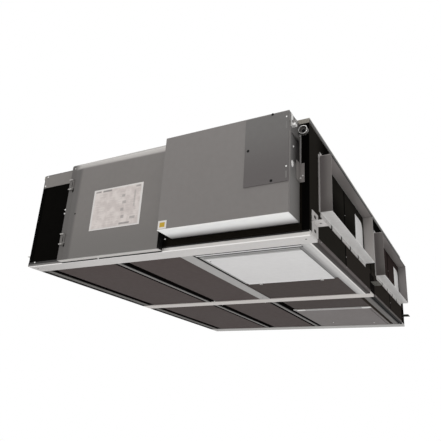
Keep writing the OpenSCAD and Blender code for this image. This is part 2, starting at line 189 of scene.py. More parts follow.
# %% [markdown]
# ## Light
# The photo has a white background and very soft light from all sides, a little more from below, where a
# bright floor throws it back. A world of plain light does most of that. Direct views and mirror views of the
# world are white, and the light that it gives to the object is set apart from that with the Light Path node.

# %% Light the studio
SOFT_LIGHT = 0.60
LAMPS = {
    "front_lamp": {"place": (-0.4, -4.4, 0.6), "size": 2.6, "watts": 8.0},
    "floor_lamp": {"place": (0.6, -1.2, -2.2), "size": 3.2, "watts": 30.0},
    "top_lamp": {"place": (-0.3, -2.2, 3.0), "size": 2.6, "watts": 40.0},
}


def seen_directly(tree):
    """1 for rays from the camera, a mirror or glass, and 0 for the light that falls on a surface."""
    path = tree.nodes.new("ShaderNodeLightPath")
    camera_ray, mirror, glass = (
        Wire(path.outputs[name]) for name in ("Is Camera Ray", "Is Glossy Ray", "Is Transmission Ray")
    )
    return camera_ray.math("MAXIMUM", camera_ray.math("MAXIMUM", camera_ray, mirror), glass)


world = bpy.data.worlds.new("studio")
bpy.context.scene.world = world
world.use_nodes = True
seen = seen_directly(world.node_tree)
background = world.node_tree.nodes["Background"]
plug(background.inputs["Color"], (1.0, 1.0, 1.0))
plug(background.inputs["Strength"], seen + (1 - seen) * SOFT_LIGHT)

target = (cad_box[0] + cad_box[1]) / 2
for name, lamp in LAMPS.items():
    light = bpy.data.lights.new(name, "AREA")
    light.shape = "DISK"
    light.size = lamp["size"]
    light.energy = lamp["watts"]
    holder = bpy.data.objects.new(name, light)
    holder.location = lamp["place"]
    holder.rotation_euler = (target - holder.location).to_track_quat("-Z", "Y").to_euler()
    bpy.context.scene.collection.objects.link(holder)
print("lit by the world and", len(LAMPS), "lamps")

# %% [markdown]
# ## The floor
# The unit hangs, so the floor lies a room's height below it. It is a plain pale disc that is mostly white to
# the camera and still keeps a soft shadow.

# %% Lay the floor
FLOOR_Z = -2.4
FLOOR_RADIUS = 9.0
FLOOR_WHITE = 0.82


def pale_floor():
    material, shader, place = new_finish("pale_floor")
    dress(shader, Base_Color=place.noise(0.8).tint((0.80, 0.80, 0.80), (0.84, 0.84, 0.84)), Roughness=0.9)
    tree = material.node_tree
    glow = place.node("ShaderNodeEmission", None, {"Color": (1.0, 1.0, 1.0), "Strength": 1.0})
    share = seen_directly(tree) * FLOOR_WHITE
    mixed = share.node("ShaderNodeMixShader", None, {0: share, 1: Wire(shader.outputs[0]), 2: glow})
    plug(tree.nodes["Material Output"].inputs["Surface"], mixed)
    return material


bm = bmesh.new()
level = Matrix.Translation((0, 0, FLOOR_Z))
bmesh.ops.create_circle(bm, cap_ends=True, segments=96, radius=FLOOR_RADIUS, matrix=level)
floor_mesh = bpy.data.meshes.new("floor")
bm.to_mesh(floor_mesh)
bm.free()
floor = bpy.data.objects.new("floor", floor_mesh)
floor.data.materials.append(pale_floor())
bpy.context.scene.collection.objects.link(floor)
print("floor at", FLOOR_Z, "m")

# %% [markdown]
# ## Galvanised sheet
# Zinc coated steel has flat crystals, faint rolling lines and a satin shine. A flat grey would look like
# plastic. Here a pattern of random cells gives the crystals, a stretched noise the rolling lines and a wide
# noise the stains. The optional `shade` paints tones at fixed places: some are the sheet's own, and many are
# painted light and painted shade.

# %% Galvanised finish
CRYSTALS = 110.0
ROLLING_LINES = 260.0
STAINS = 5.0
ZINC_RELIEF = 0.04 * MM


def galvanised(name, pale, dull, metal=0.4, rough=0.36, shade=None, shine=0.5):
    """Zinc coated sheet between a pale and a dull tone."""
    material, shader, place = new_finish(name)
    cell = {"Vector": place, "Scale": CRYSTALS, "Randomness": 1.0}
    crystal = place.node("ShaderNodeTexVoronoi", {"feature": "F1"}, cell, "Color").axis("X")
    rolling = place.noise(ROLLING_LINES, 3.0, (0.04, 1.0, 1.0))
    stain = place.noise(STAINS, 4.0)
    mottle = 0.2 * crystal + 0.35 * rolling + 0.45 * stain
    colour = mottle.above(0.5, 0.6).tint(dull, pale)
    dress(
        shader,
        Base_Color=shade(place, colour) if shade else colour,
        Roughness=rough + 0.14 * stain + 0.06 * crystal,
        Metallic=metal,
        Normal=place.bump(0.6 * crystal + 0.4 * rolling, ZINC_RELIEF),
    )
    shader.inputs["Specular IOR Level"].default_value = shine
    return material


FINISH = {
    "rail": galvanised("rail_zinc", (0.42, 0.41, 0.395), (0.355, 0.345, 0.335)),
    "middle_rail": galvanised("middle_rail_zinc", (0.62, 0.585, 0.56), (0.52, 0.485, 0.46)),
    "screw": galvanised("screw_zinc", (0.86, 0.85, 0.83), (0.66, 0.65, 0.63)),
    "rivet": galvanised("rivet_zinc", (0.42, 0.41, 0.40), (0.31, 0.30, 0.29)),
    "clip": galvanised("clip_zinc", (0.60, 0.59, 0.57), (0.46, 0.45, 0.44)),
}
print("galvanised finishes:", len(FINISH))

# %% [markdown]
# ## The front rail
# The front rail is one long folded sheet with several tones, most of them painted light and shade. Its upright
# face carries painted shade to the left of the service cover and is painted brighter to the right, its lower
# edge has a painted highlight, and its top carries the painted shadow of the wall and the cover. Each tone
# could be a material on faces of its own, but then every change would be a hard line. A mask on Object
# coordinates can be soft, and it stays on its place in every view.

# %% Tones of the front rail
# Near black, for black parts and for painted deep shade.
INK_BLACK = (0.003, 0.0028, 0.0026)
HALF_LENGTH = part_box("front_rail")[1].x
FRONT_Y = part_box("front_rail")[0].y
cover_low, cover_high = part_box("service_cover")
SKIN = 0.8 * MM
RAIL_EDGE_Y = FRONT_Y + 9 * MM
RAIL_EDGE_Z = 1.6 * MM
RAIL_DIM_X = -0.5
LEFT_SHADE_Z = 11 * MM
RIGHT_SHADE_Z = 14.5 * MM
COVER_SHADE_Y = FRONT_Y + 5 * MM


def rail_face(place, colour):
    """Painted shade and light on the face, a painted edge highlight and painted shadow of what hangs over it.
    """
    x, y, z = (place.axis(letter) for letter in "XYZ")
    front = y.below(FRONT_Y + SKIN, SKIN / 2)
    dim = x.below(RAIL_DIM_X, 0.4).tint(colour, (0.46, 0.443, 0.43))
    # Painted highlight along the lower front edge.
    edge = (y.below(RAIL_EDGE_Y, 3 * MM) * z.below(RAIL_EDGE_Z, 1.2 * MM)).tint(dim, (0.90, 0.88, 0.86))
    left, right = x.below(cover_low.x, 4 * MM), x.above(cover_high.x, 4 * MM)
    upright = front * z.above(RAIL_EDGE_Z, 1.2 * MM)
    # Painted shade on the upright face left of the cover, and a painted brighter face right of it.
    left_face = (upright * left).tint(edge, (0.15, 0.144, 0.138))
    face = (upright * right).tint(left_face, (0.66, 0.637, 0.614))
    # Painted shadow of the wall on the upright face and of the cover on the top.
    wall_shadow_mask = front * (left * z.above(LEFT_SHADE_Z, 2 * MM) + right * z.above(RIGHT_SHADE_Z, 2 * MM))
    cover_shadow_mask = y.below(COVER_SHADE_Y, 2 * MM) * (1 - left - right)
    return (wall_shadow_mask + cover_shadow_mask).tint(face, (0.012, 0.011, 0.010))


FINISH["front_rail"] = galvanised(
    "front_rail_zinc", (0.61, 0.59, 0.575), (0.52, 0.50, 0.487), shade=rail_face
)
print("front rail from x %.2f to %.2f m" % (-HALF_LENGTH, HALF_LENGTH))

# %% [markdown]
# ## The hatch bars and the roof's edge
# Two bars run beside the front hatch. The right one turns from dull to bright towards its outer edge and ends
# in a dark brown band, and the upright walls of both carry painted shade. Of the roof only the edge shows from
# below: at each end, a bright lip over a dark fold.

# %% Tones of the bars and the roof
bars_low, bars_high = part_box("hatch_bars")
BAR_MIDDLE_X = (bars_low.x + bars_high.x) / 2
BAR_DULL_X = bars_high.x - 46 * MM
BAR_EDGE_X = bars_high.x - 21 * MM
BAR_END_X = bars_high.x - 12.5 * MM
BAR_WALL_Z = 2 * MM
roof_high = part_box("roof_panel")[1]
ROOF_LIP_Z = roof_high.z - 5.5 * MM


def bar_walls(place, colour):
    """Bright bars with a dull and a brown stretch, and painted shade on the upright walls."""
    x, z = place.axis("X"), place.axis("Z")
    left = x.below(BAR_MIDDLE_X, 0.1).tint(colour, (0.39, 0.38, 0.37))
    dull = x.between(BAR_MIDDLE_X, BAR_DULL_X, 28 * MM).tint(left, (0.34, 0.33, 0.328))
    edge = x.above(BAR_EDGE_X, 4 * MM).tint(dull, (0.74, 0.72, 0.70))
    brown = x.above(BAR_END_X, 2 * MM).tint(edge, (0.042, 0.036, 0.034))
    # Painted shade on the upright walls.
    return z.above(BAR_WALL_Z, 1 * MM).tint(brown, (0.03, 0.028, 0.027))


def roof_edge(place, colour):
    """A pale top and, at both ends, a bright lip over a black fold."""
    x, z = place.axis("X").size(), place.axis("Z")
    end = x.above(roof_high.x - SKIN, SKIN / 2)
    top = z.above(roof_high.z - SKIN, SKIN / 2).tint(colour, (0.48, 0.46, 0.42))
    lip = (end * z.above(ROOF_LIP_Z, 1 * MM)).tint(top, (0.60, 0.575, 0.52))
    return (end * z.below(ROOF_LIP_Z, 1 * MM)).tint(lip, INK_BLACK)


FINISH.update({
    "bar": galvanised("bar_zinc", (0.62, 0.61, 0.595), (0.51, 0.50, 0.49), 0.1, shade=bar_walls, shine=0.05),
    "roof": galvanised("roof_zinc", (0.23, 0.21, 0.175), (0.185, 0.168, 0.138), metal=0.1, shade=roof_edge),
})
print("roof lip from z %.4f m up" % ROOF_LIP_Z)

# %% [markdown]
# ## The duct collars
# A collar is a sheet sleeve with a flange that is notched into tabs. Its tones are mostly painted light and
# shade: the side that faces the floor is painted bright, the upright sides are painted duller and paler low
# down, the side towards the front and the inside of the top carry painted shade, and the outer rim is dark.
# Light alone would make both upright sides alike, so the tones are painted as masks. The notches are drawn a
# little wide on one side, as painted shade where the cut sheet keeps the light out.

# %% Tones of the collars
collar_boxes = [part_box(name) for name in ("right_front_collar", "right_back_collar")]
collar_low, collar_high = collar_boxes[0]
COLLAR_FLANGE = 18 * MM
COLLAR_BOTTOM_Z = collar_low.z + COLLAR_FLANGE
COLLAR_TOP_Z = collar_high.z - COLLAR_FLANGE
COLLAR_NEAR_Y = [low.y + COLLAR_FLANGE for low, high in collar_boxes]
COLLAR_FAR_Y = [high.y - COLLAR_FLANGE for low, high in collar_boxes]
COLLAR_NOTCHES = 4
NOTCH_HALF = 7 * MM
SHEET = 2.5 * MM
PALE_SIDE_Z = COLLAR_BOTTOM_Z + 90 * MM
LAST_SIDE_Y = COLLAR_NEAR_Y[1] + 0.5
NEAR_SHADE_FADE_X = HALF_LENGTH + 24 * MM
NEAR_SHADE_Z = COLLAR_BOTTOM_Z + 40 * MM
CORNER_REACH = 0.2
RIM_X = collar_high.x - 4 * MM


def collar_sides(place, colour):
    """Painted light and shade: bright below, dull sides, a shaded near side and top, dark notches and rim."""
    x, y, z = place.axis("X").size(), place.axis("Y"), place.axis("Z")
    sleeve = x.above(HALF_LENGTH + SHEET, 0.6 * MM)
    upright = z.above(COLLAR_BOTTOM_Z + SHEET, 0.8 * MM) * sleeve
    top = z.above(COLLAR_TOP_Z - 1.5 * SHEET, 1 * MM) * sleeve
    near = sum(y.between(side - SHEET, side + 1.2 * SHEET, 1 * MM) for side in COLLAR_NEAR_Y)
    flange = sleeve.tint((0.275, 0.266, 0.257), colour)
    pitch = (collar_high.y - collar_low.y - 2 * COLLAR_FLANGE) / (COLLAR_NOTCHES + 1)
    notches = [side + (k + 1) * pitch for side in COLLAR_NEAR_Y for k in range(COLLAR_NOTCHES)]
    # Painted shade in the notches, drawn wider on one side.
    gaps = sum(y.between(notch - NOTCH_HALF, notch + 1.6 * NOTCH_HALF, 1 * MM) for notch in notches)
    ledge = z.below(COLLAR_BOTTOM_Z - 1 * MM, 0.6 * MM) + z.above(COLLAR_TOP_Z + 1 * MM, 0.6 * MM)
    flat = (gaps * ledge).tint(flange, (0.010, 0.009, 0.008))
    # Painted light: the upright sides are paler low down.
    low = z.below(PALE_SIDE_Z, 140 * MM).tint((0.43, 0.403, 0.387), (0.57, 0.537, 0.52))
    last = y.above(LAST_SIDE_Y, 10 * MM).tint(low, (0.30, 0.28, 0.275))
    sides = upright.tint(flat, last)
    # Painted shade on the near side, lighter towards its outer edge.
    near_shade_gradient = x.above(NEAR_SHADE_FADE_X, 44 * MM).tint((0.135, 0.119, 0.116), (0.19, 0.172, 0.163))
    shaded = z.below(NEAR_SHADE_Z, 80 * MM).tint(near_shade_gradient, (0.118, 0.106, 0.100))
    corner = sum(y.between(side, side + CORNER_REACH, CORNER_REACH) for side in COLLAR_NEAR_Y)
    # Painted shade inside the top, lighter near the front end.
    inside = corner.tint((0.29, 0.266, 0.256), (0.40, 0.365, 0.354))
    folded = top.tint((upright * near).tint(sides, shaded), inside)
    rim = top * x.above(RIM_X, 1 * MM)
    return rim.tint(folded, (0.030, 0.028, 0.025))


FINISH["collar"] = galvanised(
    "collar_zinc", (0.86, 0.845, 0.83), (0.76, 0.745, 0.73), 0.15, shade=collar_sides
)
print("collar sleeves from z %.3f to %.3f m" % (COLLAR_BOTTOM_Z, COLLAR_TOP_Z))

# %% [markdown]
# ## The brackets
# Of the hanging brackets, the front ones are bare zinc, and the middle and back ones are painted black with
# lighter tabs. At its right side, the control box has an upper bracket with a round eye and a foot below it.
# The eye is cut in the solid, and its dark ring is a mask on the distance from its centre, so the ring is
# round without any extra faces.

# %% Tones of the brackets
brackets_low, brackets_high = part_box("right_brackets")
TAB_MIDDLE_Z = (brackets_low.z + brackets_high.z) / 2
TAB_Z = (TAB_MIDDLE_Z - 3 * MM, TAB_MIDDLE_Z + 6 * MM)
TAB_X = HALF_LENGTH + 4 * MM
BLACK_FROM_Y = -0.5
LAST_BRACKET_Y = 0.5
EYE_CENTRE = (729.5, 452)
EYE_BORE = 17
EYE_RIM = (18.9, 20.9)
STRAP_TOP_Z = 0.43
FOOT_TOP_Z = 0.3075
LEAF_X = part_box("control_box")[1].x + 4 * MM
CLIP_BACK_Y = -1.06
BRACKET_TONES = ((0.65, 0.63, 0.615), (0.55, 0.53, 0.515))


def bracket_paint(place, colour):
    """Bare zinc at the front, and black paint with lighter tabs behind it."""
    x, y, z = place.axis("X").size(), place.axis("Y"), place.axis("Z")
    tab = x.above(TAB_X, 2 * MM) * z.between(*TAB_Z, 1 * MM)
    tab_tones = y.above(LAST_BRACKET_Y, 0.1).tint((0.16, 0.155, 0.14), (0.055, 0.058, 0.05))
    black = tab.tint((0.012, 0.011, 0.010), tab_tones)
    return y.above(BLACK_FROM_Y, 0.02).tint(colour, black)


def foot_paint(place, colour):
    """A dull strap and foot, a bright top with a ringed eye, and a bright clip towards the front."""
    x, y, z = (place.axis(letter) for letter in "XYZ")
    top, lower = z.above(STRAP_TOP_Z, 2 * MM), z.below(STRAP_TOP_Z, 2 * MM)
    strap = lower.tint(colour, (0.40, 0.385, 0.375))
    foot = z.below(FOOT_TOP_Z, 1 * MM).tint(strap, (0.27, 0.25, 0.24))
    leaf = (x.below(LEAF_X, 1 * MM) * lower).tint(foot, (0.225, 0.21, 0.20))
    clip = y.below(CLIP_BACK_Y, 2 * MM)
    bright = top.math("MAXIMUM", top, clip).tint(leaf, clip.tint((0.90, 0.89, 0.87), (0.97, 0.965, 0.96)))
    off_x, off_z = x - EYE_CENTRE[0] * MM, z - EYE_CENTRE[1] * MM
    squares = off_x * off_x + off_z * off_z
    reach = squares.math("SQRT", squares)
    bore = reach.below(EYE_BORE * MM, 0.5 * MM).tint(bright, (0.21, 0.20, 0.19))
    return reach.between(EYE_RIM[0] * MM, EYE_RIM[1] * MM, 0.5 * MM).tint(bore, (0.10, 0.095, 0.088))


FINISH.update({
    "bracket": galvanised("bracket_zinc", *BRACKET_TONES, 0.0, shade=bracket_paint, shine=0.0),
    "box_bracket": galvanised("box_bracket_zinc", *BRACKET_TONES, shade=foot_paint),
})
print("bracket tabs at z %.3f m, finishes so far: %d" % (TAB_MIDDLE_Z, len(FINISH)))

# %% [markdown]
# ## Painted sheet
# Most panels are coated sheet. Powder coat is never quite smooth: it has a fine orange-peel skin and slightly
# uneven colour, and handling leaves wide, faint smears. One function makes every coat, from tones that differ
# only a little, so that the panels stay calm and still look real close by.

# %% Painted finish
SMEARS = 3.5
GRAIN = 38.0
PEEL = 420.0
PEEL_RELIEF = 0.03 * MM


def painted(name, light, dark, rough=0.5, shine=0.3, shade=None):
    """Coated sheet between two close tones, with an orange-peel skin."""
    material, shader, place = new_finish(name)
    smear = place.noise(SMEARS, 4.0)
    grain = place.noise(GRAIN, 3.0)
    colour = (0.6 * smear + 0.4 * grain).above(0.5, 0.5).tint(dark, light)
    dress(
        shader,
        Base_Color=shade(place, colour) if shade else colour,
        Roughness=rough + 0.16 * smear - 0.06 * grain,
        Normal=place.bump(place.noise(PEEL, 2.0), PEEL_RELIEF),
    )
    shader.inputs["Specular IOR Level"].default_value = shine
    return material


FINISH.update({
    "floor": painted("floor_coat", (0.078, 0.061, 0.058), (0.068, 0.053, 0.050), 0.6, 0.05),
    "narrow_floor": painted("narrow_floor_coat", (0.062, 0.050, 0.046), (0.054, 0.043, 0.040), 0.6, 0.05),
})
print("finishes so far:", len(FINISH))

# %% [markdown]
# ## The service cover and its neighbours
# The service cover is one pressed sheet, and most of its tones are painted light and shade: its round top
# bend has a painted highlight, darker at the crest, its left slope and strip carry painted shade, its lower
# return has a painted highlight and its right end is painted black as shade. The sheet is darker towards the
# bottom. The bend's lower limit is a slanted mask, because the lit band grows narrower to the left. The hinge
# plates have brighter hooks, and the plate over the black panel has a painted shadow along its upper edge.

# %% Tones of the service cover
COVER_DARKER_Z = 0.12
COVER_SLOPE_X = cover_low.x + 78 * MM
COVER_BEND_Z = cover_high.z - 50 * MM
COVER_BEND_X = cover_low.x + 40 * MM
BEND_SLANT = 0.012
CREST_Z = cover_high.z - 22 * MM
PALE_BEND_X = -0.28
RETURN_Y = cover_low.y + 8 * MM
HINGE_PLATE_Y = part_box("cover_hinges")[0].y + 5.5 * MM
PLATE_EDGE_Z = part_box("front_top_plate")[1].z - 4 * MM


def cover_folds(place, colour):
    """Painted highlights on the bend and lower return, painted shade on the slope and right end, darker below.
    """
    x, y, z = (place.axis(letter) for letter in "XYZ")
    # Darker towards the bottom.
    darker_below = z.below(COVER_DARKER_Z, 0.2).tint(colour, (0.154, 0.145, 0.137))
    # Painted shade on the left slope and strip.
    shaded = x.below(COVER_SLOPE_X, 24 * MM).tint(darker_below, (0.092, 0.085, 0.080))
    # Painted highlight on the round top bend, darker at the crest and to the left.
    crest = z.above(CREST_Z, 6 * MM).tint((0.50, 0.475, 0.455), (0.36, 0.345, 0.325))
    bend = x.below(PALE_BEND_X, 0.36).tint(crest, (0.45, 0.43, 0.41))
    slant = (cover_high.x - x) * BEND_SLANT
    bent = ((z - slant).above(COVER_BEND_Z, 14 * MM) * x.above(COVER_BEND_X, 60 * MM)).tint(shaded, bend)
    # Painted black as shade on the right end.
    shaded_right_end = x.above(cover_high.x - 1 * MM, 0.6 * MM).tint(bent, INK_BLACK)
    # Painted highlight on the lower return.
    lower_return = z.below(cover_low.z + SKIN, SKIN / 2) * y.above(RETURN_Y, 6 * MM)
    return lower_return.tint(shaded_right_end, (0.55, 0.53, 0.51))


def hinge_hooks(place, colour):
    """Brighter hooks in front of the hinge plates."""
    return place.axis("Y").below(HINGE_PLATE_Y, 0.6 * MM).tint(colour, (0.40, 0.385, 0.37))


def plate_edge(place, colour):
    """Painted shadow along the upper edge."""
    return place.axis("Z").above(PLATE_EDGE_Z, 1 * MM).tint(colour, (0.085, 0.08, 0.074))


FINISH.update({
    "cover": painted("cover_coat", (0.186, 0.173, 0.164), (0.170, 0.158, 0.149), 0.44, 0.4, cover_folds),
    "hinge": painted("hinge_coat", (0.150, 0.141, 0.134), (0.128, 0.120, 0.113), 0.44, 0.3, hinge_hooks),
    "top_plate": painted("plate_coat", (0.205, 0.192, 0.18), (0.185, 0.173, 0.162), 0.48, 0.3, plate_edge),
})
print("cover bend from z %.3f m up" % COVER_BEND_Z)

# %% [markdown]
# ## The hatches
# The front hatch is a white pan on a stepped rim painted grey as shade, with two black lines along its
# front where the seal shows. The steps are in the solid, so their height tells the pan, the rim and the
# grooves apart. The back hatch is a plain grey panel with a paler strip where its hinge leaves sit.

# %% Tones of the hatches
hatch_low, hatch_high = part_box("front_hatch")
PAN_Z = 3.8 * MM
GROOVE_Z = 6.8 * MM
PAN_FRONT = 72 * MM
HATCH_LINES = ((-1 * MM, 13 * MM), (25 * MM, 46 * MM))
HATCH_DEPTH = hatch_high.y - hatch_low.y
HATCH_TURN = 12 * MM
HATCH_SIDE_X = (hatch_high.x - 20 * MM, hatch_high.x - 3 * MM)
BACK_HATCH_Y = (0.316, 0.356)


def hatch_rim(place, colour):
    """A white pan, a rim painted grey as shade and black grooves, measured from the hatch's front edge."""
    x, y, z = place.axis("X"), place.axis("Y") - hatch_low.y, place.axis("Z")
    turned = y.above(HATCH_DEPTH - HATCH_TURN, HATCH_TURN).tint(colour, (0.77, 0.76, 0.755))
    side = x.between(*HATCH_SIDE_X, 2 * MM)
    edge = z.above(PAN_Z, 0.6 * MM)
    framed = edge.math("MAXIMUM", edge, y.between(HATCH_LINES[1][1], PAN_FRONT, 4 * MM))
    # Painted shade: the rim is painted grey, darker on its right side.
    rim = framed.tint(turned, side.tint((0.36, 0.355, 0.35), (0.20, 0.195, 0.192)))
    lines = sum(y.between(start, end, 1 * MM) for start, end in HATCH_LINES)
    grooves = lines.math("MAXIMUM", lines, z.above(GROOVE_Z, 0.6 * MM))
    return grooves.tint(rim, (0.012, 0.012, 0.012))


def back_hatch_strip(place, colour):
    """A paler strip along the hinges."""
    return place.axis("Y").between(*BACK_HATCH_Y, 2 * MM).tint(colour, (0.46, 0.45, 0.44))


FINISH["hatch"] = painted(
    "hatch_coat", (0.71, 0.70, 0.695), (0.655, 0.645, 0.64), 0.45, 0.3, hatch_rim
)
FINISH["back_hatch"] = painted(
    "back_hatch_coat", (0.158, 0.139, 0.134), (0.140, 0.123, 0.119), 0.5, 0.2, back_hatch_strip
)
print("front hatch %.3f m deep" % HATCH_DEPTH)

# %% [markdown]
# ## End rails and joint strips
# The angle rails along both ends are coated brown and nearly black below, with one paler line on their
# upright side. The strips over the floor's joints are grey in the middle, between black seals, and lie in
# shade near the ends.

# %% Tones of the end rails and strips
RAIL_LINE_Z = (8.5 * MM, 14 * MM)
RAIL_LINE_DARK_Y = 0.1
RAIL_UNDER_Z = 1.2 * MM
RAIL_BACK_Z = 6 * MM
STRIP_JOINTS_X = [corner.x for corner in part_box("back_wall_middle")]
STRIP_LEFT = 13 * MM
STRIP_RIGHT = 6.5 * MM
STRIP_END_X = 0.6
END_STRIP_X = (0.694, 0.723)


def rail_under(place, colour):
    """A paler line on the upright side and a dark underside."""
    x, y, z = (place.axis(letter) for letter in "XYZ")
    tone = y.above(RAIL_LINE_DARK_Y, 0.4).tint((0.155, 0.134, 0.130), (0.108, 0.104, 0.093))
    line = z.between(*RAIL_LINE_Z, 3 * MM).tint(colour, tone)
    corner = (x.above(0, 1 * MM) * y.below(0, 1 * MM)).tint(INK_BLACK, (0.044, 0.038, 0.036))
    under = z.below(RAIL_UNDER_Z, 0.6 * MM)
    back = y.above(0, 1 * MM) * z.below(RAIL_BACK_Z, 1 * MM)
    return under.math("MAXIMUM", under, back).tint(line, corner)


def strip_shade(place, colour):
    """Grey strips between black seals, and darker ones at both ends."""
    x = place.axis("X")
    end = x.size().between(*END_STRIP_X, 2 * MM).tint((0.03, 0.028, 0.026), (0.135, 0.127, 0.12))
    joints = sum(x.between(joint - STRIP_LEFT, joint + STRIP_RIGHT, 2 * MM) for joint in STRIP_JOINTS_X)
    inner = joints.tint(INK_BLACK, colour)
    return x.size().above(STRIP_END_X, 0.1).tint(inner, end)


FINISH.update({
    "end_rail": painted("end_rail_coat", (0.120, 0.102, 0.100), (0.098, 0.084, 0.082), 0.6, 0.05, rail_under),
    "strip": painted("strip_coat", (0.22, 0.21, 0.20), (0.18, 0.17, 0.165), 0.5, 0.1, strip_shade),
})
print("strips over joints at x", [round(joint, 3) for joint in STRIP_JOINTS_X])

# %% [markdown]
# ## The control box
# The box is dusty grey, its small cover is darker towards the bottom, its right side carries painted light
# low down, and a deep pocket in that side carries painted shade where it keeps the light out. Its white base
# is folded up a little at the front, which shows as a thin white band on the front's lower edge, and carries
# painted shade towards the wall.

# %% Tones of the control box
SMALL_COVER_DARKER_Z = 0.33
BOX_LOW_Z = 0.22
POCKET_Y = -1.062
POCKET_Z = (0.283, 0.412)
BOX_FOLD_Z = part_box("control_box_front")[0].z + 2.5 * MM
BASE_SHADE_Y = -1.055


def small_cover_darker_below(place, colour):
    """Darker towards the bottom."""
    return place.axis("Z").below(SMALL_COVER_DARKER_Z, 0.24).tint(colour, (0.108, 0.098, 0.096))


def box_pocket(place, colour):
    """Painted light below, and painted shade in the pocket."""
    y, z = place.axis("Y"), place.axis("Z")
    # Painted light on the lower part of the side.
    low = z.below(BOX_LOW_Z, 0.1).tint(colour, (0.182, 0.174, 0.167))
    # Painted shade in the pocket.
    deep = y.above(POCKET_Y, 0.075) * z.between(*POCKET_Z, 8 * MM)
    return deep.tint(low, (0.02, 0.018, 0.017))


def front_fold(place, colour):
    """The white base's fold along the lower edge."""
    return place.axis("Z").below(BOX_FOLD_Z, 2 * MM).tint(colour, (0.92, 0.915, 0.905))


def base_shade(place, colour):
    """Shade towards the wall."""
    return place.axis("Y").above(BASE_SHADE_Y, 0.09).tint(colour, (0.235, 0.226, 0.222))


FINISH.update({
    "box_side": painted("box_side_coat", (0.120, 0.115, 0.110), (0.104, 0.099, 0.095), 0.48, 0.3, box_pocket),
    "box_cover": painted("small_cover_coat", (0.148, 0.142, 0.137), (0.134, 0.128, 0.123), shade=small_cover_darker_below),
    "box_front": painted("box_coat", (0.208, 0.195, 0.187), (0.192, 0.179, 0.171), 0.48, 0.3, front_fold),
    "white": painted("white_coat", (0.93, 0.93, 0.92), (0.885, 0.885, 0.88), 0.4, 0.3, base_shade),
})
print("white fold up to z %.4f m" % BOX_FOLD_Z)

# %% [markdown]
# ## The black walls
# The casing is black. The front wall is a little browner around the control box. The end walls have dark
# upright joints, a browner part behind the back collar, and deep shade inside the front collar and above
# both. The collars' places come from the frame, so the shade stays with them.

# %% Tones of the walls
BROWN_WALL_X = 0.1
WALL_JOINTS_Y = [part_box("right_wall_%d" % i)[1].y for i in (1, 2, 3)]
JOINT_HALF = 8 * MM
WALL_SKIN = 3 * MM
DUCT_SHADE_Z = 0.29
DUCT_SHADE_Y = -0.62
OVER_SHADE_Y = collar_low.y + 40 * MM
FAR_WALL = (0.0330, 0.0285, 0.0250)
SECOND_WALL = (0.042, 0.031, 0.029)


def brown_wall(place, colour):
    """Browner around the control box."""
    return place.axis("X").above(BROWN_WALL_X, 0.04).tint(colour, (0.0080, 0.0066, 0.0050))


def wall_joints(place, colour):
    """Dark joints, and the shade and the brown tone around the collars."""
    x, y, z = place.axis("X").size(), place.axis("Y"), place.axis("Z")
    lines = sum(y.between(joint - JOINT_HALF, joint + JOINT_HALF, 2 * MM) for joint in WALL_JOINTS_Y)
    face = x.above(HALF_LENGTH - WALL_SKIN, 1 * MM)
    sleeve = z.between(COLLAR_BOTTOM_Z, COLLAR_TOP_Z, 4 * MM)
    first, second = (sleeve * y.between(*span, 4 * MM) for span in zip(COLLAR_NEAR_Y, COLLAR_FAR_Y))
    shadow = first * (0.65 * z.below(DUCT_SHADE_Z, 0.14) + 0.35 * y.below(DUCT_SHADE_Y, 0.16))
    over = z.above(collar_high.z, 10 * MM) * y.above(OVER_SHADE_Y, 0.16)
    below_collars = y.above(WALL_JOINTS_Y[0], 10 * MM) * z.below(COLLAR_BOTTOM_Z, 10 * MM)
    far = (face * below_collars).tint(colour, FAR_WALL)
    brown = (face * second).tint(far, SECOND_WALL)
    shaded = (face * (0.8 * shadow + 0.9 * over)).tint(brown, INK_BLACK)
    return (lines * face + y.below(FRONT_Y + WALL_SKIN, 2 * MM)).tint(shaded, INK_BLACK)


FINISH["black"] = painted(
    "black_coat", (0.0030, 0.0027, 0.0022), (0.0022, 0.0020, 0.0016), 0.7, 0.01, brown_wall
)
FINISH["end_black"] = painted(
    "end_black_coat", (0.0238, 0.0216, 0.0184), (0.0202, 0.0183, 0.0155), 0.65, 0.0, wall_joints
)
print("wall joints at y", [round(joint, 3) for joint in WALL_JOINTS_Y])

# %% [markdown]
# ## Foam and filter felt
# The joints of the floor are packed with black foam, which swallows light and is browner along the right end.
# The air openings are filled with white filter felt, which is all fine fibres: two noises drawn out along
# different axes give the tangle.

# %% Soft finishes
PORES = 700.0
FOAM_RELIEF = 0.2 * MM
BROWN_FOAM_X = (0.66, 0.715)
FIBRES = 420.0
FELT_RELIEF = 0.4 * MM


def foam():
    """Black foam with fine pores."""
    material, shader, place = new_finish("foam")
    pores = place.noise(PORES, 2.0)
    black = pores.tint((0.0015, 0.0013, 0.0012), (0.0040, 0.0036, 0.0034))
    dress(
        shader,
        Base_Color=place.axis("X").between(*BROWN_FOAM_X, 0.02).tint(black, (0.034, 0.029, 0.024)),
        Roughness=0.9 + 0.08 * pores,
        Normal=place.bump(pores, FOAM_RELIEF),
    )
    shader.inputs["Specular IOR Level"].default_value = 0.0
    return material


def felt():
    """White felt, a tangle of fibres along two axes."""
    material, shader, place = new_finish("felt")
    across, upright = (place.noise(FIBRES, 3.0, stretch) for stretch in ((1.0, 0.12, 1.0), (1.0, 1.0, 0.12)))
    fibres = 0.5 * across + 0.5 * upright
    dress(
        shader,
        Base_Color=fibres.above(0.5, 0.4).tint((0.80, 0.79, 0.78), (0.93, 0.92, 0.91)),
        Roughness=0.88 + 0.1 * fibres,
        Normal=place.bump(fibres, FELT_RELIEF),
    )
    return material


FINISH["foam"] = foam()
FINISH["felt"] = felt()
print("foam and felt ready")

# %% [markdown]
# ## Give every solid its finish
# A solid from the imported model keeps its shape, so only its material slot changes. Sheet metal is folded, not
# cut from a block, and its edges are a little round. A weld, a planar clean-up and a small bevel, all as
# modifiers, give each solid those edges without touching its own mesh.

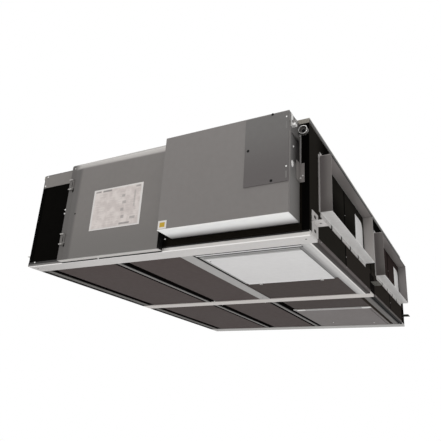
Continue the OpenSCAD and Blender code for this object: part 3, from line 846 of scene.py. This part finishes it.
# %% Dress the solids
WALLS = ["%s_wall_%d" % (end, i) for end in ("right", "left") for i in (1, 2, 3, 4)]
BACK_WALLS = ["back_wall_left", "back_wall_middle", "back_wall_right"]
COLLARS = ["%s_%s_collar" % (end, row) for end in ("right", "left") for row in ("front", "back")]
WEARS = {
    "roof": ["roof_panel"],
    "front_rail": ["front_rail"],
    "rail": ["back_rail"],
    "middle_rail": ["middle_rail"],
    "bracket": ["right_brackets", "left_brackets"],
    "bar": ["hatch_bars"],
    "box_bracket": ["box_brackets"],
    "clip": ["hatch_clips"],
    "end_rail": ["end_rails"],
    "floor": ["front_left_floor", "front_middle_floor", "back_left_floor", "back_middle_floor"],
    "narrow_floor": ["front_narrow_floor", "back_narrow_floor"],
    "strip": ["joint_strips"],
    "foam": ["joint_seals"],
    "hatch": ["front_hatch"],
    "back_hatch": ["back_hatch"],
    "black": ["front_wall"],
    "end_black": WALLS + BACK_WALLS,
    "collar": COLLARS,
    "felt": ["right_filters", "left_filters"],
    "top_plate": ["front_top_plate"],
    "cover": ["service_cover"],
    "hinge": ["cover_hinges"],
    "box_side": ["control_box"],
    "white": ["control_box_base"],
    "box_front": ["control_box_front"],
    "box_cover": ["control_box_cover"],
}
EDGE = 0.9 * MM
FINE_EDGE = 0.4 * MM
THIN_PIECES = COLLARS + ["right_brackets", "left_brackets", "box_brackets", "cover_hinges", "hatch_clips"]
SHARP_ANGLE = math.radians(35)
FLAT_ANGLE = math.radians(0.5)
WELD_REACH = 0.01 * MM


def round_edges(part, width):
    """Small round edges, made by modifiers on the welded solid."""
    part.modifiers.new("weld", "WELD").merge_threshold = WELD_REACH
    flat = part.modifiers.new("flatten", "DECIMATE")
    flat.decimate_type = "DISSOLVE"
    flat.angle_limit = FLAT_ANGLE
    bevel = part.modifiers.new("edge", "BEVEL")
    bevel.width = width
    bevel.segments = 2
    bevel.limit_method = "ANGLE"
    bevel.angle_limit = SHARP_ANGLE


for finish, names in WEARS.items():
    for name in names:
        part = nodes[name]
        part.data.materials.clear()
        part.data.materials.append(FINISH[finish])
        round_edges(part, FINE_EDGE if name in THIN_PIECES else EDGE)
print("dressed", sum(len(names) for names in WEARS.values()), "of", len(nodes), "solids")

# %% [markdown]
# ## Tools for small fittings
# A screw head could be a copy of one object, but the finished pieces have to sit at the origin with their
# place in the mesh. So each group of fittings is one bmesh: a helper adds a head, a plate or a hole to it at
# a point on a surface, and `keep` turns the whole group into one piece.

# %% Fittings helpers
HEAD_SLOPE = 0.78
DRIVE_RIM = 0.45
DRIVE_SINK = 0.4
HOLE_DISC = 0.3 * MM


def facing(point, outward):
    """A placement at a point in millimetres whose Z axis leaves the surface."""
    turn = Vector(outward).to_track_quat("Z", "Y").to_matrix().to_4x4()
    return Matrix.Translation(Vector(point) * MM) @ turn


def add_screw(bm, point, outward, radius, rise=0.45):
    """A low screw head with a sloping rim and a sunk drive."""
    radius, height = radius * MM, radius * rise * MM
    stand = facing(point, outward) @ Matrix.Translation((0, 0, height / 2))
    rims = {"radius1": radius, "radius2": HEAD_SLOPE * radius, "depth": height}
    made = bmesh.ops.create_cone(bm, cap_ends=True, segments=16, **rims, matrix=stand)
    caps = {face for vert in made["verts"] for face in vert.link_faces if len(face.verts) > 4}
    top = max(caps, key=lambda face: face.calc_center_median().dot(Vector(outward)))
    bmesh.ops.inset_individual(bm, faces=[top], thickness=DRIVE_RIM * radius, depth=-DRIVE_SINK * height)


def add_hole(bm, point, outward, radius, tall=1.0):
    """A flat dark disc, drawn out along its Y axis, that stands for a small hole as painted shade."""
    shape = facing(point, outward) @ Matrix.Diagonal((1.0, tall, 1.0, 1.0))
    rims = {"radius1": radius * MM, "radius2": radius * MM, "depth": HOLE_DISC}
    bmesh.ops.create_cone(bm, cap_ends=True, segments=20, **rims, matrix=shape)


def add_plate(bm, low, high, rounding=0.15):
    """A small plate between two corners in millimetres, with rounded edges."""
    low, high = Vector(low) * MM, Vector(high) * MM
    shape = Matrix.Translation((low + high) / 2) @ Matrix.Diagonal((*(high - low), 1.0))
    made = bmesh.ops.create_cube(bm, size=1.0, matrix=shape)
    edges = list({edge for vert in made["verts"] for edge in vert.link_edges})
    width = {"offset": rounding * MM, "offset_type": "OFFSET", "affect": "EDGES"}
    bmesh.ops.bevel(bm, geom=edges, **width, segments=2, profile=0.5, material=-1)


def keep(name, bm, finish):
    """Turns a finished bmesh into a piece of the unit."""
    bmesh.ops.recalc_face_normals(bm, faces=bm.faces)
    mesh = bpy.data.meshes.new(name)
    bm.to_mesh(mesh)
    bm.free()
    piece = bpy.data.objects.new(name, mesh)
    piece.data.materials.append(FINISH[finish])
    bpy.context.scene.collection.objects.link(piece)
    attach(piece, "root")
    print(name, "has", len(mesh.polygons), "faces")
    return piece


FRONT, UNDER = (0, -1, 0), (0, 0, -1)
STRIP_DEPTH = 6
COVER_FACE = cover_low.y / MM
COVER_SIDE = cover_low.x / MM
STRIP_FACE = COVER_FACE + STRIP_DEPTH
WALL_FACE = FRONT_Y / MM
PLATE_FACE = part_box("front_top_plate")[0].y / MM
BOX_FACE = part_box("control_box_front")[0].y / MM
SMALL_COVER_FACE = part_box("control_box_cover")[0].y / MM
BOX_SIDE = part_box("control_box")[1].x / MM
print("cover face at y %.0f, box face at y %.0f, box side at x %.0f" % (COVER_FACE, BOX_FACE, BOX_SIDE))

# %% [markdown]
# ## Screws and holes of the front
# The plate over the black panel is held by two bright screws, and two latch bolts show on the cover's left
# side. Each hinge has a dark slot with a bright pin head and a dark hole below it, and a third pin head sits
# at the cover's top corner. A small plug marks where the cover's slope meets its face, and a bright spacer
# stands under the cover. A flat disc is enough for a hole that is only a few millimetres wide, and the
# dark discs and slots are painted shade where holes and slots are.

# %% Bright front fittings
TOP_PLATE_SCREWS = [(-724, 502), (-732, 449)]
WALL_SCREWS = [(-705, 20), (89, 57)]
LATCH_BOLTS_Z = (272, 251)
LATCH_INSET = 5
LATCH_RISE = 2.0
PIN_HEADS = [(COVER_SIDE + 26, 390), (COVER_SIDE + 26, 93), (COVER_SIDE + 20, 496)]
SCREW_RADIUS = 4.0
WIDE_SCREW_RADIUS = 4.5
PIN_RADIUS = 2.6
SPACER_X = (-283, -277)
SPACER_Z = (0.4, 4.0)
SPACER_DEPTH = 6

bm = bmesh.new()
for x, z in TOP_PLATE_SCREWS:
    add_screw(bm, (x, PLATE_FACE, z), FRONT, WIDE_SCREW_RADIUS)
for x, z in WALL_SCREWS:
    add_screw(bm, (x, WALL_FACE, z), FRONT, SCREW_RADIUS)
for z in LATCH_BOLTS_Z:
    add_screw(bm, (COVER_SIDE, STRIP_FACE + LATCH_INSET, z), (-1, 0, 0), WIDE_SCREW_RADIUS, LATCH_RISE)
for x, z in PIN_HEADS:
    add_screw(bm, (x, STRIP_FACE, z), FRONT, PIN_RADIUS)
spacer_low = (SPACER_X[0], WALL_FACE - SPACER_DEPTH, SPACER_Z[0])
add_plate(bm, spacer_low, (SPACER_X[1], WALL_FACE, SPACER_Z[1]), rounding=0.3)
keep("front_screws", bm, "screw")

# %% Dark front fittings
HINGE_HOLES = [(COVER_SIDE + 28, 372), (COVER_SIDE + 28, 81)]
HINGE_HOLE_RADIUS = 4.6
HINGE_HOLE_TALL = 2.6
HINGE_SLOTS_Z = [405, 111]
SLOT_X = (COVER_SIDE + 16.5, COVER_SIDE + 21.5)
SLOT_HALF = 14
SLOT_RISE = 0.6
SLOPE_PLUG = (COVER_SIDE + 76, 235)
FLAT_RISE = 0.2

# The dark coat of the discs and slots that stand for holes is painted shade.
FINISH["hole"] = painted("hole_dark", (0.0045, 0.0042, 0.0040), (0.003, 0.003, 0.003), 0.8, 0.0)
bm = bmesh.new()
for x, z in HINGE_HOLES:
    add_hole(bm, (x, STRIP_FACE, z), FRONT, HINGE_HOLE_RADIUS, HINGE_HOLE_TALL)
for z in HINGE_SLOTS_Z:
    slot_low = (SLOT_X[0], STRIP_FACE - SLOT_RISE, z - SLOT_HALF)
    add_plate(bm, slot_low, (SLOT_X[1], STRIP_FACE, z + SLOT_HALF))
add_screw(bm, (SLOPE_PLUG[0], COVER_FACE, SLOPE_PLUG[1]), FRONT, SCREW_RADIUS, FLAT_RISE)
keep("front_holes", bm, "hole")

# %% [markdown]
# ## Fittings of the control box
# The small cover is held by three black screws, and two bright rivets with a pale slot below each mark its
# right edge. On the box's side are an oval plug, a screw in the pocket, two screws in the foot and a bright
# angle clip at the top. A black hexagon bolt with a washer sits in the eye. A squashed ball makes the oval
# plug, and cones with equal radii make the washer and the hexagon.

# %% Small cover's screws
COVER_SCREWS = [(640, 484), (537, 339), (639, 191)]
COVER_SCREW_RADIUS = 6.0

FINISH["black_screw"] = painted("black_screw_coat", (0.005, 0.0048, 0.0045), (0.003, 0.003, 0.003), 0.4, 0.1)
bm = bmesh.new()
for x, z in COVER_SCREWS:
    add_screw(bm, (x, SMALL_COVER_FACE, z), FRONT, COVER_SCREW_RADIUS, FLAT_RISE)
keep("cover_screws", bm, "black_screw")

# %% Bright control box fittings
EDGE_RIVETS = [(700, 460), (700, 242)]
EDGE_RIVET_RADIUS = 3.4
POCKET_SCREW = (-1072, 358)
POCKET_DEPTH = 5.5
FOOT_SCREWS = [(724, 251), (715.5, 241)]
FOOT_SCREW_RADIUS = 3.6
FOOT_SHEET = 3.0
CLIP_Y, CLIP_Z = (-1117, -1098), (427, 484)
CLIP_THICK, CLIP_ARM, CLIP_ARM_HIGH = 3.6, 20, 10
SIDE_PLUG = (-1097, 269)
PLUG_SIZE = (3, 11, 14)

bm = bmesh.new()
for x, z in EDGE_RIVETS:
    add_screw(bm, (x, SMALL_COVER_FACE, z), FRONT, EDGE_RIVET_RADIUS, FLAT_RISE)
add_screw(bm, (BOX_SIDE - POCKET_DEPTH, *POCKET_SCREW), (1, 0, 0), WIDE_SCREW_RADIUS)
for x, z in FOOT_SCREWS:
    add_screw(bm, (x, WALL_FACE - FOOT_SHEET, z), FRONT, FOOT_SCREW_RADIUS)
clip_end = (BOX_SIDE + CLIP_THICK, CLIP_Y[1], CLIP_Z[1])
add_plate(bm, (BOX_SIDE, CLIP_Y[0], CLIP_Z[0]), clip_end, rounding=0.4)
arm_end = (BOX_SIDE + CLIP_ARM, CLIP_Y[1], CLIP_Z[0] + CLIP_ARM_HIGH)
add_plate(bm, (BOX_SIDE + CLIP_THICK, CLIP_Y[0], CLIP_Z[0]), arm_end, rounding=0.4)
plug_place = Matrix.Translation(Vector((BOX_SIDE, *SIDE_PLUG)) * MM)
plug_shape = plug_place @ Matrix.Diagonal((*(Vector(PLUG_SIZE) * MM), 1))
bmesh.ops.create_uvsphere(bm, u_segments=24, v_segments=12, radius=1.0, matrix=plug_shape)
keep("box_rivets", bm, "screw")

# %% Pale slots and the eye's bolt
EDGE_SLOTS = [(700, 407, 438), (700, 193, 222)]
EDGE_SLOT_HALF = 3
EDGE_SLOT_RISE = 0.3
EYE_FLOOR = 3.0
WASHER = {"sides": 24, "radius": 8.5, "start": 0.0, "height": 1.5}
HEXAGON = {"sides": 6, "radius": 6.5, "start": 1.5, "height": 5.0}

FINISH["pale_slot"] = painted("pale_slot_coat", (0.185, 0.177, 0.17), (0.165, 0.158, 0.152), 0.5)
bm = bmesh.new()
for x, z0, z1 in EDGE_SLOTS:
    slot_low = (x - EDGE_SLOT_HALF, SMALL_COVER_FACE - EDGE_SLOT_RISE, z0)
    add_plate(bm, slot_low, (x + EDGE_SLOT_HALF, SMALL_COVER_FACE, z1), rounding=0.1)
keep("edge_slots", bm, "pale_slot")

bm = bmesh.new()
seat = facing((EYE_CENTRE[0], WALL_FACE - EYE_FLOOR, EYE_CENTRE[1]), FRONT)
for ring in (WASHER, HEXAGON):
    stand = seat @ Matrix.Translation((0, 0, (ring["start"] + ring["height"] / 2) * MM))
    rims = {"radius1": ring["radius"] * MM, "radius2": ring["radius"] * MM, "depth": ring["height"] * MM}
    bmesh.ops.create_cone(bm, cap_ends=True, segments=ring["sides"], **rims, matrix=stand)
keep("eye_bolt", bm, "black_screw")

# %% [markdown]
# ## The paper sheet and the blank sticker
# A page in a clear sleeve is stuck on the service cover, and a small square sticker on the control box. The
# page has a pale frame, a slightly blotchy field and faint grey bars and rows, and the sticker has a plain
# amber field. An image could carry them, but a few masks on Object coordinates stay sharp close by. Both
# pieces are thin plates.

# %% Paper sheet
PAGE_X, PAGE_Z = (-331, -35), (130, 340)
PAGE_THICK = 0.6
PAGE_FRAME = 0.035
PAGE_ROWS = 17.0
ROW_INK = 0.12
ROW_BREAKS = 60.0
PAGE_PATCHES = 26.0
ROW_SPAN = (0.3, 0.62)
ROWS_U, ROWS_V = (0.06, 0.95), (0.08, 0.88)
PAGE_BARS = [
    (0.04, 0.15, 0.92, 0.955, 0.75), (0.19, 0.37, 0.915, 0.96, 0.8), (0.86, 0.95, 0.91, 0.955, 0.6),
    (0.60, 0.80, 0.055, 0.10, 0.7), (0.60, 0.66, 0.72, 0.78, 0.5), (0.62, 0.69, 0.55, 0.62, 0.5),
    (0.60, 0.66, 0.38, 0.45, 0.5), (0.62, 0.68, 0.20, 0.27, 0.5), (0.84, 0.87, 0.45, 0.84, 0.35),
    (0.80, 0.90, 0.16, 0.22, 0.5), (0.03, 0.97, 0.03, 0.036, 0.35),
]


def page_print(place, colour):
    """Bars and rows as shares of the page's width u and height v."""
    u = (place.axis("X") - PAGE_X[0] * MM) * (1 / ((PAGE_X[1] - PAGE_X[0]) * MM))
    v = (place.axis("Z") - PAGE_Z[0] * MM) * (1 / ((PAGE_Z[1] - PAGE_Z[0]) * MM))
    rows = v.math("FRACT", v * PAGE_ROWS).between(*ROW_SPAN, 0.1)
    breaks = place.noise(ROW_BREAKS, 1.0, (1.0, 1.0, 0.35)).above(0.5, 0.08)
    faint = ROW_INK * rows * breaks * u.between(*ROWS_U, 0.01) * v.between(*ROWS_V, 0.01)
    field = u.between(PAGE_FRAME, 1 - PAGE_FRAME, 0.02) * v.between(PAGE_FRAME, 1 - PAGE_FRAME, 0.03)
    patches = place.noise(PAGE_PATCHES, 2.0).above(0.5, 0.3).tint((0.585, 0.525, 0.50), (0.70, 0.64, 0.61))
    page = field.tint(colour, patches)
    bars = sum(
        depth * u.between(u0, u1, 0.012) * v.between(v0, v1, 0.012) for u0, u1, v0, v1, depth in PAGE_BARS
    )
    return faint.math("MINIMUM", faint + bars, 1.0).tint(page, (0.20, 0.19, 0.185))


FINISH["paper"] = painted("paper", (0.74, 0.71, 0.69), (0.68, 0.65, 0.63), 0.42, 0.4, page_print)
bm = bmesh.new()
page_low = (PAGE_X[0], COVER_FACE - PAGE_THICK, PAGE_Z[0])
add_plate(bm, page_low, (PAGE_X[1], COVER_FACE, PAGE_Z[1]), rounding=0.2)
keep("paper_sheet", bm, "paper")

# %% Blank sticker
STICKER_X, STICKER_Z = (130, 172), (56, 93)
STICKER_THICK = 0.4
STICKER_BORDER = 8


def amber_field(place, colour):
    """An amber field inside a pale border."""
    wide, tall = (
        place.axis(axis).between((span[0] + STICKER_BORDER) * MM, (span[1] - STICKER_BORDER) * MM, 1 * MM)
        for axis, span in (("X", STICKER_X), ("Z", STICKER_Z))
    )
    return (wide * tall).tint(colour, (0.52, 0.34, 0.03))


FINISH["sticker"] = painted("sticker", (0.74, 0.71, 0.67), (0.68, 0.65, 0.61), 0.4, 0.3, amber_field)
bm = bmesh.new()
sticker_low = (STICKER_X[0], BOX_FACE - STICKER_THICK, STICKER_Z[0])
add_plate(bm, sticker_low, (STICKER_X[1], BOX_FACE, STICKER_Z[1]), rounding=0.12)
keep("blank_sticker", bm, "sticker")

# %% [markdown]
# ## Fittings of the underside
# Small bright screws hold the hatches and the floor panels, two bright leaves hinge the back hatch, and the
# rails, bars and clips have fixing holes, drawn as dark discs of painted shade. A screw on a recessed panel may
# stand out by two millimetres and still stay above the rails, so nothing spoils the flat underside.

# %% Bright underside fittings
PAN_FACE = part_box("front_hatch")[0].z / MM
PANEL_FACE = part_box("front_left_floor")[0].z / MM
HATCH_SCREWS = [(213, -491), (649, -522), (294, -404)]
BACK_HATCH_SCREWS = [(309, 788), (580, 836)]
HATCH_SCREW_RISE = 0.35
PANEL_SCREWS = [(-196, -38), (-700, -38), (-196, 70), (100, 70)]
HINGE_LEAVES = [(210, 261), (619, 671)]
LEAF_Y = (316, 346)
LEAF_Z = (0.6, 6.0)
LEAF_SCREW_SHARES = (0.2, 0.8)
LEAF_SCREW_RADIUS = 3.0
LEAF_SCREW_RISE = 0.15

bm = bmesh.new()
for x, y in HATCH_SCREWS + BACK_HATCH_SCREWS:
    add_screw(bm, (x, y, PAN_FACE), UNDER, SCREW_RADIUS, HATCH_SCREW_RISE)
for x, y in PANEL_SCREWS:
    add_screw(bm, (x, y, PANEL_FACE), UNDER, SCREW_RADIUS)
for x0, x1 in HINGE_LEAVES:
    add_plate(bm, (x0, LEAF_Y[0], LEAF_Z[0]), (x1, LEAF_Y[1], LEAF_Z[1]), rounding=0.4)
    for share in LEAF_SCREW_SHARES:
        point = (x0 + share * (x1 - x0), sum(LEAF_Y) / 2, LEAF_Z[0])
        add_screw(bm, point, UNDER, LEAF_SCREW_RADIUS, LEAF_SCREW_RISE)
keep("underside_screws", bm, "screw")

# %% Dark underside fittings
HATCH_HOLES = [(206, -808)]
BAR_HOLES = [(139, -63), (680, -82)]
RAIL_HOLES = [(x, y) for x in (-721, 721) for y in (-973, 973)]
HOLE_RADIUS = 4.0
HOLE_Z = 0.1
CLIP_RADIUS = 8
CLIP_HOLE_RADIUS = 3.5

bm = bmesh.new()
for x, y in HATCH_HOLES:
    add_hole(bm, (x, y, PAN_FACE), UNDER, HOLE_RADIUS)
for x, y in BAR_HOLES + RAIL_HOLES:
    add_hole(bm, (x, y, HOLE_Z), UNDER, HOLE_RADIUS)
clips_low, clips_high = (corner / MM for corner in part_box("hatch_clips"))
for x in (clips_low.x + CLIP_RADIUS, clips_high.x - CLIP_RADIUS):
    add_hole(bm, (x, clips_high.y - CLIP_RADIUS, clips_low.z), UNDER, CLIP_HOLE_RADIUS)
keep("underside_holes", bm, "hole")

# %% [markdown]
# ## Rivets of the collars and screws of the ends
# Each tab of a collar's flange is riveted to the wall, and so are its two upright flanges. Screws follow the
# joints of the wall panels and the rails below them. Both ends are alike, so one loop mirrors them.

# %% End fittings
SEAM_SCREWS_Z = (65, 273, 455)
RAIL_SCREWS_Y = (-873, -495, -117, 117, 495, 873)
RAIL_SCREW_Z = 16
SIDE_RIVETS_Z = (165, 270, 390)
FLANGE_MIDDLE = COLLAR_FLANGE / MM / 2
TABS = COLLAR_NOTCHES + 1
RIVET_RADIUS = 2.6
SIDE_RIVET_RADIUS = 3.2
SEAM_OFFSET = 6

bm = bmesh.new()
for sign in (-1, 1):
    out = (sign, 0, 0)
    end = "right" if sign > 0 else "left"
    wall_x = sign * HALF_LENGTH / MM
    for row in ("front", "back"):
        low, high = (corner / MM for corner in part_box("%s_%s_collar" % (end, row)))
        flange_x = wall_x + sign * SHEET / MM
        tab = (high.y - low.y - 4 * FLANGE_MIDDLE) / TABS
        for k in range(TABS):
            y = low.y + 2 * FLANGE_MIDDLE + (k + 0.5) * tab
            for z in (low.z + FLANGE_MIDDLE, high.z - FLANGE_MIDDLE):
                add_screw(bm, (flange_x, y, z), out, RIVET_RADIUS)
        for y in (low.y + FLANGE_MIDDLE, high.y - FLANGE_MIDDLE):
            for z in SIDE_RIVETS_Z:
                add_screw(bm, (flange_x, y, z), out, SIDE_RIVET_RADIUS)
    for seam in (1, 2, 3):
        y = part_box("%s_wall_%d" % (end, seam))[1].y / MM
        for z in SEAM_SCREWS_Z:
            add_screw(bm, (wall_x, y + SEAM_OFFSET, z), out, RIVET_RADIUS)
    for y in RAIL_SCREWS_Y:
        add_screw(bm, (wall_x, y, RAIL_SCREW_Z), out, RIVET_RADIUS)
keep("end_rivets", bm, "rivet")
